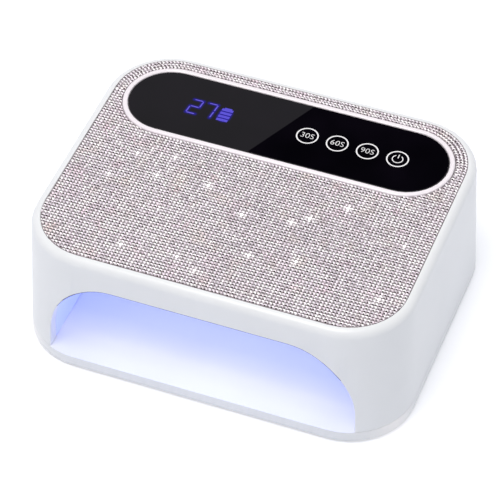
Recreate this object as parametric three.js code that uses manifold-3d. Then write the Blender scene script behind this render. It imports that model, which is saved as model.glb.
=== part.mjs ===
import * as THREE from 'three';
import { mergeVertices } from 'three/addons/utils/BufferGeometryUtils.js';
import Module from 'manifold-3d';

// A rechargeable lamp that cures gel nail varnish. Sizes are in millimetres and +Z is up.
// The hand goes in along +Y, and the lamp stands on its feet at Z = 0.

const wasm = await Module();
wasm.setup();

// Outline, set by the crystal field on top
const fieldWidth = 220;
const fieldDepth = 173.8;
const fieldCorner = 34.4;
const rimMargin = 5.5;
const lampHeight = 88;

// Gap between pieces that touch, and how far a cutter runs past what it cuts
const fit = 0.3;
const overrun = 3;

// Housing
const housingWall = 2.5;
const draftInset = 3.2;
const topFillet = 5.2;
const crystalProud = 0.6;
const crystalRecess = 1.2;
const lipDepth = 12;
const lipWall = 1.6;
const lipRound = 1;
const mouthBrow = 19.3;
const jambWidth = 24.8;
const jambLean = 0.45;
const archCornerWidth = 40.5;
const archCornerHeight = 48.6;
const bossRadius = 4;
const bossSide = 11.5;
const bossEnd = 33.5;
const ventWidth = 2.4;
const ventHeight = 16;
const ventPitch = 6;
const ventStart = 28;
const ventRise = 12;
const ventCount = 5;

// Rows of stones on the crystal cover, with an edge row round them
const rowPitch = 2.21;
const rowRelief = 0.6;
const rowLandShare = 0.44;
const edgeRow = 2.3;

// Base plate, feet and magnets
const footDrop = 1.2;
const footRadius = 7;
const footPocket = 1;
const footInset = 26;
const plateHeight = 7.6;
const plateEdge = 1.8;
const panDepth = 2;
const panMargin = 6;
const padWall = 3;
const magnetRadius = 4;
const magnetHeight = 2;
const magnetSpacing = 22;
const cupWall = 1.2;

// Reflector, the liner that the hand goes into
const linerWall = 1.6;
const flangeHeight = 2;
const bayAir = 5;

// Screws that hold the reflector to the housing
const screwRadius = 1.5;
const screwHeadRadius = 3;
const screwHeadHeight = 1.8;
const screwLength = 13;
const screwWeb = 1.5;
const screwSlotWidth = 0.8;
const screwSlotDepth = 1;

// Display window, its frame and what stands below it
const panelMargin = 10.4;
const panelDepth = 51.1;
const lensHeight = 2;
const lensChamfer = 0.3;
const frameWidth = 3.2;
const frameProud = 0.6;
const frameCrest = 1.1;
const frameLip = 1.5;
const lensLedge = 2.5;
const ledgeHeight = 2;
const neckHeight = 9;
const boardHeight = 1.6;
const displayBoardGrow = 1.5;
const displayWidth = 44;
const displayDepth = 23;
const displayCorner = 1.5;
const displayPlaceShare = -0.246;
const keyPlaceShares = [0.065, 0.159, 0.253, 0.347];
const springRadius = 4;
const springWire = 0.35;
const keyNames = ['thirty', 'sixty', 'ninety', 'power'];

// LED boards, beads and the hand sensor
const boardCorner = 3;
const roofBoardInset = 3;
const beadRadius = 2.8;
const beadProud = 1;
const beadRim = 0.8;
const roofColumnShares = [-0.72, 0, 0.72];
const roofRowShares = [0.1, 0.34, 0.58, 0.82];
const sideBoardLength = 72;
const sideBoardHeight = 30;
const sideBeadRise = 17;
const sideBeadShares = [-0.36, 0, 0.36];
const sensorShare = 0.95;
const sensorRadius = 2.2;

// Battery, main board and charging inlet in the bay behind the reflector
const cellRadius = 9.1;
const cellLength = 65;
const cellGap = 2;
const cellButtonRadius = 2.8;
const cellButtonHeight = 1;
const cradleWall = 1.5;
const cradleDrop = 20.6;
const mainBoardMargin = 3;
const mainBoardSide = 11.2;
const coilRadius = 5;
const coilHeight = 7;
const capacitorRadius = 3.5;
const capacitorHeight = 10;
const partPitch = 14;
const partStart = 20;
const inletWidth = 9;
const inletHeight = 11;
const inletLength = 14;
const inletNoseRadius = 4.2;
const inletBoreRadius = 2.9;
const inletBoreDepth = 9;
const inletPinRadius = 1;
const ribbonWidth = 14;
const ribbonThickness = 0.8;
const ribbonBow = 3;
const leadRadius = 1.1;
const leadBow = 9;
const leadStart = 24;

// Faceting
const cornerSteps = 10;
const filletSteps = 6;
const crestSteps = 6;
const edgeSteps = 3;
const archSteps = 7;
const slotSteps = 2;
const roundSides = 16;
const smallSides = 8;
const springTurns = 4;
const springSteps = 28;
const springSides = 4;
const leadSteps = 16;
const leadSides = 5;
const ribbonSteps = 12;
const weld = 1e-4;

// Levels, from the floor up
const plateFoot = footDrop;
const plateTop = plateFoot + plateHeight;
const housingFoot = plateTop + fit;
const rimTop = lampHeight - crystalProud;
const wallTop = rimTop - topFillet;
const recessFloor = rimTop - crystalRecess;
const roofUnder = recessFloor - housingWall;
const mouthTop = rimTop - mouthBrow;
const cavityTop = mouthTop;
const linerTop = cavityTop + linerWall;
const flangeTop = housingFoot + flangeHeight;
const lensFoot = lampHeight - lensHeight;
const ledgeTop = lensFoot - fit;
const neckFoot = lampHeight - neckHeight;
const displayBoardTop = neckFoot - fit;
const displayBoardFoot = displayBoardTop - boardHeight;
const roofBoardFoot = linerTop + fit;
const roofBoardTop = roofBoardFoot + boardHeight;
const mainBoardFoot = flangeTop + fit;
const mainBoardTop = mainBoardFoot + boardHeight;
const cellZ = linerTop - cradleDrop;

// Plan sizes
const baseWidth = fieldWidth + 2 * (rimMargin + draftInset);
const baseDepth = fieldDepth + 2 * (rimMargin + draftInset);
const bodyCorner = fieldCorner + rimMargin;
const mouthHalf = baseWidth / 2 - jambWidth;
const lipEnd = lipDepth - baseDepth / 2;
const archRun = Math.min(archCornerWidth, mouthHalf);
const archRise = Math.min(archCornerHeight, mouthTop - housingFoot - fit);
const bossX = baseWidth / 2 - bossSide;
const bossY = baseDepth / 2 - bossEnd;
const magnetY = bossY - magnetSpacing;
const bayDepth = 2 * (cellRadius + cradleWall + fit) + fit + bayAir;
const bayFront = wallY(mainBoardTop) - housingWall - bayDepth;
const mainBoardWidth = 2 * (bossX - bossRadius - mainBoardSide);
const cavityBack = bayFront - linerWall;
const lensLength = fieldWidth - 2 * panelMargin;
const panelY = fieldDepth / 2 - panelMargin - panelDepth / 2;
const frameOuter = fit + frameWidth;
const neckOuter = frameOuter - frameLip;
const displayX = displayPlaceShare * lensLength;

// How far the drafted wall has come in at a level
function inset(z) {
  return draftInset * (z - plateFoot) / (wallTop - plateFoot);
}

// Half the body's depth at a level
function wallY(z) {
  return baseDepth / 2 - inset(z);
}

// Points of a rectangle with round corners, anticlockwise, grown by a margin
function outline(width, depth, radius, grow = 0) {
  const bend = Math.max(radius + grow, weld);
  const points = [];
  const quarters = [[1, 1], [-1, 1], [-1, -1], [1, -1]];
  quarters.forEach(([sideX, sideY], quarter) => {
    const centreX = sideX * Math.max(width / 2 + grow - bend, 0);
    const centreY = sideY * Math.max(depth / 2 + grow - bend, 0);
    for (let step = 0; step <= cornerSteps; step += 1) {
      const turn = (quarter + step / cornerSteps) * Math.PI / 2;
      points.push([centreX + bend * Math.cos(turn), centreY + bend * Math.sin(turn)]);
    }
  });
  return points;
}

// An outline lifted to a level, moved to a centre
function ring(points, z, centre = [0, 0]) {
  return points.map(([x, y]) => [x + centre[0], y + centre[1], z]);
}

// The body's own outline at a level
function bodyRing(z, grow = 0) {
  const width = baseWidth - 2 * inset(z);
  const depth = baseDepth - 2 * inset(z);
  return ring(outline(width, depth, bodyCorner, grow), z);
}

// The display window's outline
function panelRing(z, grow) {
  return ring(outline(lensLength, panelDepth, panelDepth / 2, grow), z, [0, panelY]);
}

// Faces between rings that have as many points each, with flat ends or closed on themselves
function skin(rings, closed) {
  const count = rings[0].length;
  const index = [];
  const spans = closed ? rings.length : rings.length - 1;
  for (let span = 0; span < spans; span += 1) {
    const low = span * count;
    const high = ((span + 1) % rings.length) * count;
    for (let i = 0; i < count; i += 1) {
      const next = (i + 1) % count;
      index.push(low + i, low + next, high + next, low + i, high + next, high + i);
    }
  }
  const last = (rings.length - 1) * count;
  for (let i = 1; !closed && i < count - 1; i += 1) {
    index.push(0, i + 1, i, last, last + i, last + i + 1);
  }
  const geometry = new THREE.BufferGeometry();
  geometry.setAttribute('position', new THREE.Float32BufferAttribute(rings.flat(2), 3));
  geometry.setIndex(index);
  return geometry;
}

// A closed geometry as a solid, with its shared points merged and empty faces left out
function solid(geometry) {
  const bare = geometry.clone();
  bare.deleteAttribute('normal');
  bare.deleteAttribute('uv');
  const merged = mergeVertices(bare, weld);
  const corners = merged.index.array;
  const triVerts = [];
  for (let i = 0; i < corners.length; i += 3) {
    const [a, b, c] = corners.slice(i, i + 3);
    if (a !== b && b !== c && c !== a) triVerts.push(a, b, c);
  }
  return new wasm.Manifold(new wasm.Mesh({
    numProp: 3,
    vertProperties: merged.attributes.position.array,
    triVerts: new Uint32Array(triVerts),
  }));
}

function loft(rings) {
  return solid(skin(rings, false));
}

function band(rings) {
  return solid(skin(rings, true));
}

// A flat slab with round corners
function slab(width, depth, radius, low, high, centre) {
  const points = outline(width, depth, radius);
  return loft([ring(points, low, centre), ring(points, high, centre)]);
}

// A square block between two levels
function block(width, depth, low, high, [x, y]) {
  return wasm.Manifold.cube([width, depth, high - low], true).translate([x, y, (low + high) / 2]);
}

// A profile of [radius, height] pairs turned about the Z axis, then set at a place
function turned(profile, place, sides = smallSides, tilt = [0, 0, 0]) {
  const points = profile.map(([radius, height]) => new THREE.Vector2(radius, height));
  const geometry = new THREE.LatheGeometry(points, sides);
  geometry.rotateX(Math.PI / 2);
  geometry.rotateX(tilt[0]);
  geometry.rotateY(tilt[1]);
  geometry.rotateZ(tilt[2]);
  geometry.translate(...place);
  return solid(geometry);
}

// A plain round bar from one height to another
function bar(radius, low, high, place, sides = smallSides, tilt = [0, 0, 0]) {
  return turned([[0, low], [radius, low], [radius, high], [0, high]], place, sides, tilt);
}

// A shape drawn in X and Z, pushed along Y
function pushed(shape, nearY, farY, curveSegments = archSteps) {
  const geometry = new THREE.ExtrudeGeometry(shape, {
    depth: farY - nearY,
    steps: 1,
    bevelEnabled: false,
    curveSegments,
  });
  geometry.rotateX(Math.PI / 2);
  geometry.translate(0, farY, 0);
  return solid(geometry);
}

// The mouth's arch: leaning jambs under two quarter ellipses and a straight brow
function archShape(grow, foot) {
  const springing = mouthTop - archRise;
  const shoulder = mouthHalf - archRun;
  const reachX = archRun + grow;
  const reachZ = archRise + grow;
  const shape = new THREE.Shape();
  shape.moveTo(-mouthHalf - jambLean - grow, foot);
  shape.lineTo(mouthHalf + jambLean + grow, foot);
  shape.absellipse(shoulder, springing, reachX, reachZ, 0, Math.PI / 2, false, 0);
  shape.absellipse(-shoulder, springing, reachX, reachZ, Math.PI / 2, Math.PI, false, 0);
  shape.closePath();
  return shape;
}

// Where the body's front face stands at a place across it, at a level
function faceY(x, z) {
  const front = bodyRing(z).filter(([, y]) => y < 0);
  const after = front.findIndex((point) => point[0] >= x);
  const [nearX, nearY] = front[after - 1];
  const [farX, farY] = front[after];
  return nearY + (farY - nearY) * (x - nearX) / (farX - nearX);
}

// The grown arch laid on a face, then moved back
function archRing(grow, back, face = faceY) {
  const points = archShape(grow, housingFoot - overrun).getPoints(archSteps);
  return points.map(({ x, y }) => [x, face(x, y) + back, y]);
}

// Half the width of the grown arch at a level above its springing
function archHalf(z, grow) {
  const springing = mouthTop - archRise;
  const climb = Math.max(z - springing, 0) / (archRise + grow);
  return mouthHalf - archRun + (archRun + grow) * Math.sqrt(1 - climb * climb);
}

// A round wire along a curve
function wire(curve, radius, sides, steps) {
  const points = Array.from({ length: sides }, (_, side) => {
    const turn = side / sides * 2 * Math.PI;
    return new THREE.Vector2(radius * Math.cos(turn), radius * Math.sin(turn));
  });
  const geometry = new THREE.ExtrudeGeometry(new THREE.Shape(points), {
    steps,
    extrudePath: curve,
    bevelEnabled: false,
  });
  return solid(geometry);
}

const bossPlaces = [[bossX, bossY], [-bossX, bossY], [-bossX, -bossY], [bossX, -bossY]];
const magnetPlaces = [[bossX, magnetY], [-bossX, magnetY], [-bossX, -magnetY], [bossX, -magnetY]];
const footX = baseWidth / 2 - footInset;
const footY = baseDepth / 2 - footInset;
const footPlaces = [[footX, footY], [-footX, footY], [-footX, -footY], [footX, -footY]];
const cornerNames = ['rear_right', 'rear_left', 'front_left', 'front_right'];

// Housing: a drafted shell with a round shoulder, open below, with the mouth in its front
function outerForm() {
  const rings = [bodyRing(housingFoot), bodyRing(wallTop)];
  for (let step = 1; step <= filletSteps; step += 1) {
    const turn = step / filletSteps * Math.PI / 2;
    const shrink = topFillet * (1 - Math.cos(turn));
    const points = outline(baseWidth - 2 * draftInset, baseDepth - 2 * draftInset, bodyCorner, -shrink);
    rings.push(ring(points, wallTop + topFillet * Math.sin(turn)));
  }
  return loft(rings);
}

function innerForm() {
  return loft([bodyRing(housingFoot - overrun, -housingWall), bodyRing(roofUnder, -housingWall)]);
}

function ventSlot(x) {
  const low = mainBoardTop + ventRise;
  const shape = new THREE.Shape();
  const bend = ventWidth / 2;
  shape.moveTo(x + bend, low);
  shape.lineTo(x + bend, low + ventHeight);
  shape.absarc(x, low + ventHeight, bend, 0, Math.PI, false);
  shape.lineTo(x - bend, low);
  shape.absarc(x, low, bend, Math.PI, 2 * Math.PI, false);
  return pushed(shape, wallY(rimTop) - housingWall - overrun, baseDepth / 2 + overrun, slotSteps);
}

function screwPost([x, y]) {
  const low = housingFoot + screwHeadHeight + fit + screwWeb + 2 * fit;
  const post = bar(bossRadius, low, roofUnder + housingWall / 2, [x, y, 0]);
  const top = housingFoot + fit + screwHeadHeight + screwLength + fit;
  return post.subtract(bar(screwRadius + fit, low - overrun, top, [x, y, 0]));
}

const inletZ = mainBoardTop + fit + inletHeight / 2;

// The mouth's lip: a sleeve behind the front wall
function mouthLip() {
  const sleeve = pushed(archShape(lipWall, housingFoot), -baseDepth / 2 - overrun, lipEnd);
  return sleeve.intersect(outerForm());
}

// Cutter for the mouth, with a round edge where it meets the front
function mouthCut() {
  const inside = -baseDepth / 2 + bodyCorner / 2;
  const rings = [archRing(0, 0, () => inside)];
  for (let step = 0; step <= edgeSteps; step += 1) {
    const turn = step / edgeSteps * Math.PI / 2;
    rings.push(archRing(lipRound * (1 - Math.cos(turn)), lipRound * (1 - Math.sin(turn))));
  }
  rings.push(archRing(2 * lipRound, -lipRound / 2));
  rings.push(archRing(2 * lipRound, -overrun, () => -baseDepth / 2));
  return loft(rings);
}

function outerHousing() {
  const window = neckOuter + fit;
  let shell = outerForm().subtract(innerForm()).add(mouthLip());
  shell = shell.subtract(mouthCut());
  shell = shell.subtract(slab(
    fieldWidth + 2 * fit, fieldDepth + 2 * fit, fieldCorner + fit, recessFloor, rimTop + overrun,
  ));
  shell = shell.subtract(loft([panelRing(roofUnder - overrun, window), panelRing(rimTop, window)]));
  shell = shell.subtract(bar(
    inletNoseRadius + fit, wallY(rimTop) - housingWall - overrun, baseDepth / 2 + overrun,
    [0, 0, inletZ], roundSides, [-Math.PI / 2, 0, 0],
  ));
  for (let i = 0; i < ventCount; i += 1) {
    shell = shell.subtract(ventSlot(ventStart + i * ventPitch));
    shell = shell.subtract(ventSlot(-ventStart - i * ventPitch));
  }
  bossPlaces.forEach((place) => {
    shell = shell.add(screwPost(place));
  });
  return shell;
}

// Grooves between the rows of stones, inside the edge rows
function rowGrooves() {
  const rows = Math.floor(fieldDepth / rowPitch / 2);
  const slope = rowPitch * (1 - rowLandShare) / 2;
  const lift = rowRelief / 5;
  const wide = slope * (1 + lift / rowRelief);
  const comb = new THREE.Shape();
  comb.moveTo(rows * rowPitch, lampHeight + overrun);
  comb.lineTo(-rows * rowPitch, lampHeight + overrun);
  for (let row = -rows; row < rows; row += 1) {
    const middle = (row + 1 / 2) * rowPitch;
    comb.lineTo(middle - wide, lampHeight + lift);
    comb.lineTo(middle, lampHeight - rowRelief);
    comb.lineTo(middle + wide, lampHeight + lift);
  }
  comb.closePath();
  const low = lampHeight - 2 * rowRelief;
  const high = lampHeight + overrun;
  const window = frameOuter + fit + edgeRow;
  const field = slab(
    fieldWidth - 2 * edgeRow, fieldDepth - 2 * edgeRow, fieldCorner - edgeRow, low, high,
  ).subtract(loft([panelRing(low - overrun, window), panelRing(high + overrun, window)]));
  return pushed(comb, -fieldWidth / 2, fieldWidth / 2).rotate([0, 0, 90]).intersect(field);
}

// Crystal cover: the sheet of stones that fills the recess round the display frame
function crystalCover() {
  const low = recessFloor + fit;
  const window = frameOuter + fit;
  const sheet = slab(fieldWidth, fieldDepth, fieldCorner, low, lampHeight);
  const hole = loft([panelRing(low - overrun, window), panelRing(lampHeight + overrun, window)]);
  return sheet.subtract(hole).subtract(rowGrooves());
}

// Display frame: a crowned rim over a neck with a ledge for the window
function displayFrame() {
  const flangeFoot = recessFloor + fit;
  const crestZ = lampHeight + frameProud - frameCrest;
  const profile = [[neckOuter, neckFoot], [neckOuter, flangeFoot], [frameOuter, flangeFoot]];
  const middle = (frameOuter + fit) / 2;
  const reach = (frameOuter - fit) / 2;
  for (let step = 0; step <= crestSteps; step += 1) {
    const turn = step / crestSteps * Math.PI;
    profile.push([middle + reach * Math.cos(turn), crestZ + frameCrest * Math.sin(turn)]);
  }
  const neckInner = neckOuter - 2 * frameLip + fit;
  profile.push([fit, ledgeTop], [-lensLedge, ledgeTop], [-lensLedge, ledgeTop - ledgeHeight]);
  profile.push([Math.min(neckInner, fit), ledgeTop - ledgeHeight], [Math.min(neckInner, fit), neckFoot]);
  return band(profile.map(([grow, z]) => panelRing(z, grow)));
}

function displayLens() {
  return loft([
    panelRing(lensFoot, 0),
    panelRing(lampHeight - lensChamfer, 0),
    panelRing(lampHeight, -lensChamfer),
  ]);
}

function displayBoard() {
  return loft([
    panelRing(displayBoardFoot, displayBoardGrow),
    panelRing(displayBoardTop, displayBoardGrow),
  ]);
}

function digitDisplay() {
  return slab(
    displayWidth, displayDepth, displayCorner, displayBoardTop + fit, lensFoot - fit, [displayX, panelY],
  );
}

// Touch spring: a coil that carries the touch signal from the window down to the board
class Coil extends THREE.Curve {
  constructor(centre, radius, low, high) {
    super();
    Object.assign(this, { centre, radius, low, high });
  }

  getPoint(share) {
    const turn = share * springTurns * 2 * Math.PI;
    return new THREE.Vector3(
      this.centre[0] + this.radius * Math.cos(turn),
      this.centre[1] + this.radius * Math.sin(turn),
      this.low + (this.high - this.low) * share,
    );
  }
}

function touchSpring(x) {
  const low = displayBoardTop + fit + springWire;
  const high = lensFoot - fit - springWire;
  return wire(new Coil([x, panelY], springRadius, low, high), springWire, springSides, springSteps);
}

// Reflector: an arched liner with a closed back and a flange that shuts the housing's underside
function beadPlaces() {
  const shoulder = mouthHalf - archRun;
  const front = -wallY(cavityTop);
  const run = cavityBack - front;
  const places = [];
  roofRowShares.forEach((row) => {
    roofColumnShares.forEach((column) => {
      places.push([shoulder * column, front + run * row]);
    });
  });
  return places;
}

function sensorPlace() {
  const front = -wallY(cavityTop);
  return [0, front + (cavityBack - front) * sensorShare];
}

const sideBeadZ = mainBoardFoot + sideBeadRise;
const sideFace = mouthHalf + jambLean + linerWall + fit;

function sideBeadPlaces(side) {
  return sideBeadShares.map((share) => [side, share * sideBoardLength]);
}

function magnetCup([x, y]) {
  const top = housingFoot + magnetHeight + 2 * fit + cupWall;
  return bar(magnetRadius + fit + cupWall, housingFoot + flangeHeight / 2, top, [x, y, 0], roundSides);
}

function screwCup([x, y]) {
  const top = housingFoot + screwHeadHeight + fit + screwWeb + fit;
  return bar(bossRadius, housingFoot + flangeHeight / 2, top, [x, y, 0], roundSides);
}

function reflector() {
  const low = housingFoot - overrun;
  const front = -baseDepth / 2 - overrun;
  const inside = -housingWall - fit;
  let liner = pushed(archShape(linerWall, housingFoot), lipEnd + fit, bayFront);
  liner = liner.add(loft([bodyRing(housingFoot, inside), bodyRing(flangeTop, inside)]));
  liner = liner.subtract(pushed(archShape(lipWall + fit, low), front, lipEnd + fit));
  magnetPlaces.forEach((place) => {
    liner = liner.add(magnetCup(place));
  });
  bossPlaces.forEach((place) => {
    liner = liner.add(screwCup(place));
  });
  liner = liner.subtract(pushed(archShape(0, low), front, cavityBack));
  magnetPlaces.forEach(([x, y]) => {
    liner = liner.subtract(bar(
      magnetRadius + fit, low, housingFoot + magnetHeight + 2 * fit, [x, y, 0], roundSides,
    ));
  });
  bossPlaces.forEach(([x, y]) => {
    liner = liner.subtract(bar(screwHeadRadius + fit, low, housingFoot + screwHeadHeight + fit, [x, y, 0]));
    liner = liner.subtract(bar(screwRadius + fit, low, flangeTop + overrun + screwWeb, [x, y, 0]));
  });
  beadPlaces().forEach(([x, y]) => {
    liner = liner.subtract(bar(beadRadius + fit, cavityTop - overrun, linerTop + overrun, [x, y, 0]));
  });
  const [sensorX, sensorY] = sensorPlace();
  liner = liner.subtract(bar(
    sensorRadius + fit, cavityTop - overrun, linerTop + overrun, [sensorX, sensorY, 0],
  ));
  [-1, 1].forEach((side) => sideBeadPlaces(side).forEach(([, y]) => {
    const reach = sideFace + overrun;
    const near = archHalf(sideBeadZ, 0) - 2 * overrun;
    liner = liner.subtract(bar(
      beadRadius + fit, near, reach, [0, y, sideBeadZ], smallSides, [0, side * Math.PI / 2, 0],
    ));
  }));
  return liner;
}

// LED boards lie on the reflector's roof and stand beside its walls
function roofBoard() {
  const width = 2 * (mouthHalf - archRun - roofBoardInset);
  const front = lipEnd + roofBoardInset;
  const depth = bayFront - front;
  return slab(width, depth, boardCorner, roofBoardFoot, roofBoardTop, [0, front + depth / 2]);
}

function sideBoard(side) {
  const foot = flangeTop + fit;
  const near = sideFace + fit;
  const centreX = side * (near + boardHeight / 2);
  return block(boardHeight, sideBoardLength, foot, foot + sideBoardHeight, [centreX, 0]);
}

// LED bead: a round base on its board and a clear dome that looks into the cavity
function beadProfile(radius, base, tip) {
  const dome = Math.min(radius, tip - base - beadRim);
  const profile = [[0, base], [radius, base]];
  for (let step = 0; step < edgeSteps; step += 1) {
    const turn = step / edgeSteps * Math.PI / 2;
    profile.push([radius * Math.cos(turn), tip - dome + dome * Math.sin(turn)]);
  }
  return [...profile, [0, tip]];
}

function roofBead([x, y], radius) {
  const reach = roofBoardFoot - fit - (cavityTop - beadProud);
  return turned(beadProfile(radius, 0, reach), [x, y, roofBoardFoot - fit], smallSides, [Math.PI, 0, 0]);
}

function sideBead([side, y]) {
  const reach = sideFace - (archHalf(sideBeadZ, 0) - beadProud);
  return turned(
    beadProfile(beadRadius, 0, reach), [side * sideFace, y, sideBeadZ],
    smallSides, [0, -side * Math.PI / 2, 0],
  );
}

// Main board with its coils and capacitors, flat on the flange behind the reflector
function mainBoard() {
  const near = bayFront + fit;
  const far = wallY(mainBoardTop) - housingWall - mainBoardMargin;
  const middle = (near + far) / 2;
  let board = slab(mainBoardWidth, far - near, boardCorner, mainBoardFoot, mainBoardTop, [0, middle]);
  for (let i = 0; i < 2; i += 1) {
    const x = partStart + i * partPitch;
    board = board.add(bar(coilRadius, mainBoardFoot, mainBoardTop + coilHeight, [x, middle, 0]));
    board = board.add(bar(capacitorRadius, mainBoardFoot, mainBoardTop + capacitorHeight, [-x, middle, 0]));
  }
  return board;
}

// Charging inlet: a socket with a centre pin, its nose flush with the rear wall
function chargingInlet() {
  const noseEnd = wallY(inletZ) - fit;
  const bodyEnd = noseEnd - housingWall - fit;
  const low = mainBoardTop + fit;
  const along = [-Math.PI / 2, 0, 0];
  const place = [0, 0, inletZ];
  const body = block(inletWidth, inletLength, low, low + inletHeight, [0, bodyEnd - inletLength / 2]);
  const nose = bar(inletNoseRadius, bodyEnd - inletLength / 2, noseEnd, place, roundSides, along);
  const boreEnd = noseEnd - inletBoreDepth;
  const bore = bar(inletBoreRadius, boreEnd, noseEnd + overrun, place, roundSides, along);
  const pin = bar(inletPinRadius, boreEnd - fit, noseEnd - inletPinRadius, place, smallSides, along);
  return body.add(nose).subtract(bore).add(pin);
}

const cellY = bayFront + fit + cradleWall + fit + cellRadius;
const packHalf = cellLength + cellGap / 2 + cellButtonHeight;
const cradleHalf = packHalf + fit + cradleWall;

// Cradle: a trough with closed ends, fixed to the reflector's back
function batteryCradle() {
  const inner = cellRadius + fit;
  const outer = inner + cradleWall;
  const trough = new THREE.Shape();
  trough.moveTo(-outer, 0);
  trough.lineTo(-outer, -outer);
  trough.lineTo(0, -outer);
  trough.absarc(0, 0, outer, 1.5 * Math.PI, 2 * Math.PI, false);
  trough.lineTo(inner, 0);
  trough.absarc(0, 0, inner, 2 * Math.PI, Math.PI, true);
  trough.closePath();
  const end = new THREE.Shape();
  end.moveTo(-outer, 0);
  end.lineTo(-outer, -outer);
  end.lineTo(0, -outer);
  end.absarc(0, 0, outer, 1.5 * Math.PI, 2 * Math.PI, false);
  end.closePath();
  const long = pushed(trough, -cradleHalf, cradleHalf);
  const left = pushed(end, -cradleHalf, -packHalf - fit);
  const right = pushed(end, packHalf + fit, cradleHalf);
  return long.add(left).add(right).rotate([0, 0, 90]).translate([0, cellY, cellZ]);
}

function batteryCell(side) {
  const start = cellGap / 2;
  const profile = [
    [0, start], [cellRadius, start], [cellRadius, start + cellLength],
    [cellButtonRadius, start + cellLength], [cellButtonRadius, start + cellLength + cellButtonHeight],
    [0, start + cellLength + cellButtonHeight],
  ];
  return turned(profile, [0, cellY, cellZ], roundSides, [0, side * Math.PI / 2, 0]);
}

// Flat cable from the main board up to the display board, with some slack
function displayRibbon() {
  const right = cradleHalf + fit + ribbonWidth / 2;
  const y = bayFront + fit + ribbonBow;
  const low = mainBoardTop + fit;
  const high = displayBoardFoot - fit;
  const route = new THREE.CatmullRomCurve3([
    new THREE.Vector3(right, y, low),
    new THREE.Vector3(right, y, low + (high - low) / 4),
    new THREE.Vector3(right, y + ribbonBow, (low + high) / 2),
    new THREE.Vector3(right, y, high - (high - low) / 4),
    new THREE.Vector3(right, y, high),
  ]);
  return loft(route.getPoints(ribbonSteps).map((point) => ribbonRow(point)));
}

function ribbonRow(point) {
  const x = ribbonWidth / 2;
  const y = ribbonThickness / 2;
  const corners = [[x, y], [-x, y], [-x, -y], [x, -y]];
  return corners.map(([dx, dy]) => [point.x + dx, point.y + dy, point.z]);
}

// Two-core leads: from the battery, and from the main board to the LED boards
function batteryLead() {
  const x = -(cradleHalf + fit);
  const low = mainBoardTop + fit + leadRadius;
  const z = cellZ - cellRadius / 2;
  const route = new THREE.CatmullRomCurve3([
    new THREE.Vector3(x, cellY, z),
    new THREE.Vector3(x - leadBow / 3, cellY, z),
    new THREE.Vector3(x - leadBow, cellY, z - leadBow),
    new THREE.Vector3(x - leadBow, cellY, low + leadBow),
    new THREE.Vector3(x - leadBow, cellY, low - leadRadius),
  ]);
  return wire(route, leadRadius, leadSides, leadSteps);
}

function ledLead() {
  const x = -(cradleHalf + fit + leadRadius + fit);
  const y = bayFront + leadRadius + 2 * fit;
  const over = roofBoardTop + fit + leadRadius;
  const boardEdge = mouthHalf - archRun - roofBoardInset - boardCorner;
  const route = new THREE.CatmullRomCurve3([
    new THREE.Vector3(x, y, mainBoardTop + fit),
    new THREE.Vector3(x, y, mainBoardTop + leadBow),
    new THREE.Vector3(x, y, linerTop - leadBow),
    new THREE.Vector3(x + leadBow, y, over),
    new THREE.Vector3(-boardEdge - leadBow, y - leadStart / 2, over),
    new THREE.Vector3(-boardEdge + leadBow, y - leadStart, over),
  ]);
  return wire(route, leadRadius, leadSides, leadSteps);
}

// Base plate: a shallow tray panel with pads for the feet and pockets for the magnets
function basePlate() {
  const rings = [];
  for (let step = 0; step <= edgeSteps; step += 1) {
    const turn = step / edgeSteps * Math.PI / 2;
    const shrink = plateEdge * (1 - Math.sin(turn));
    rings.push(bodyRing(plateFoot + plateEdge * (1 - Math.cos(turn)), -shrink));
  }
  let plate = loft([...rings, bodyRing(plateTop)]);
  let pan = loft([bodyRing(plateFoot - overrun, -panMargin), bodyRing(plateFoot + panDepth, -panMargin)]);
  footPlaces.forEach(([x, y]) => {
    const pad = footRadius + fit + padWall;
    pan = pan.subtract(bar(pad, plateFoot - 2 * overrun, plateTop, [x, y, 0], roundSides));
  });
  plate = plate.subtract(pan);
  footPlaces.forEach(([x, y]) => {
    plate = plate.subtract(bar(
      footRadius + fit, plateFoot - overrun, plateFoot + footPocket, [x, y, 0], roundSides,
    ));
  });
  magnetPlaces.forEach(([x, y]) => {
    plate = plate.subtract(bar(
      magnetRadius + fit, plateTop - 2 * fit - magnetHeight, plateTop + overrun, [x, y, 0], roundSides,
    ));
  });
  return plate;
}

// Screw with a cross slot in its head
function screw([x, y]) {
  const low = housingFoot + fit;
  const shoulder = low + screwHeadHeight;
  const profile = [
    [0, low], [screwHeadRadius, low], [screwHeadRadius, shoulder - fit], [screwRadius, shoulder - fit],
    [screwRadius, shoulder + screwLength - screwRadius], [0, shoulder + screwLength],
  ];
  const long = 2 * screwRadius;
  const along = block(long, screwSlotWidth, low - fit, low + screwSlotDepth, [x, y]);
  const across = block(screwSlotWidth, long, low - fit, low + screwSlotDepth, [x, y]);
  return turned(profile, [x, y, 0]).subtract(along.add(across));
}

// Finishes: colour, roughness and metalness
const finishes = {
  whitePlastic: [0xeef0f3, 0.35, 0],
  crystals: [0xd9cdd2, 0.12, 0.25],
  blackGloss: [0x08070a, 0.06, 0],
  boardGreen: [0x1f5a3a, 0.5, 0.1],
  displayFace: [0x15121f, 0.3, 0],
  springSteel: [0xb9bcc2, 0.3, 1],
  linerWhite: [0xdfe4ff, 0.25, 0],
  clearBead: [0xe9e6ff, 0.1, 0],
  sensorBlack: [0x141018, 0.15, 0],
  cellWrap: [0x2f6fb5, 0.4, 0],
  blackPlastic: [0x1a1a1c, 0.5, 0],
  cableGrey: [0xb4b6ba, 0.6, 0],
  leadRed: [0xb02a26, 0.5, 0],
  magnetNickel: [0xc9ccd0, 0.25, 1],
  rubber: [0x2a2a2c, 0.9, 0],
};

const group = new THREE.Group();
const lamp = new THREE.Group();
const base = new THREE.Group();
group.add(lamp, base);

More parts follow.
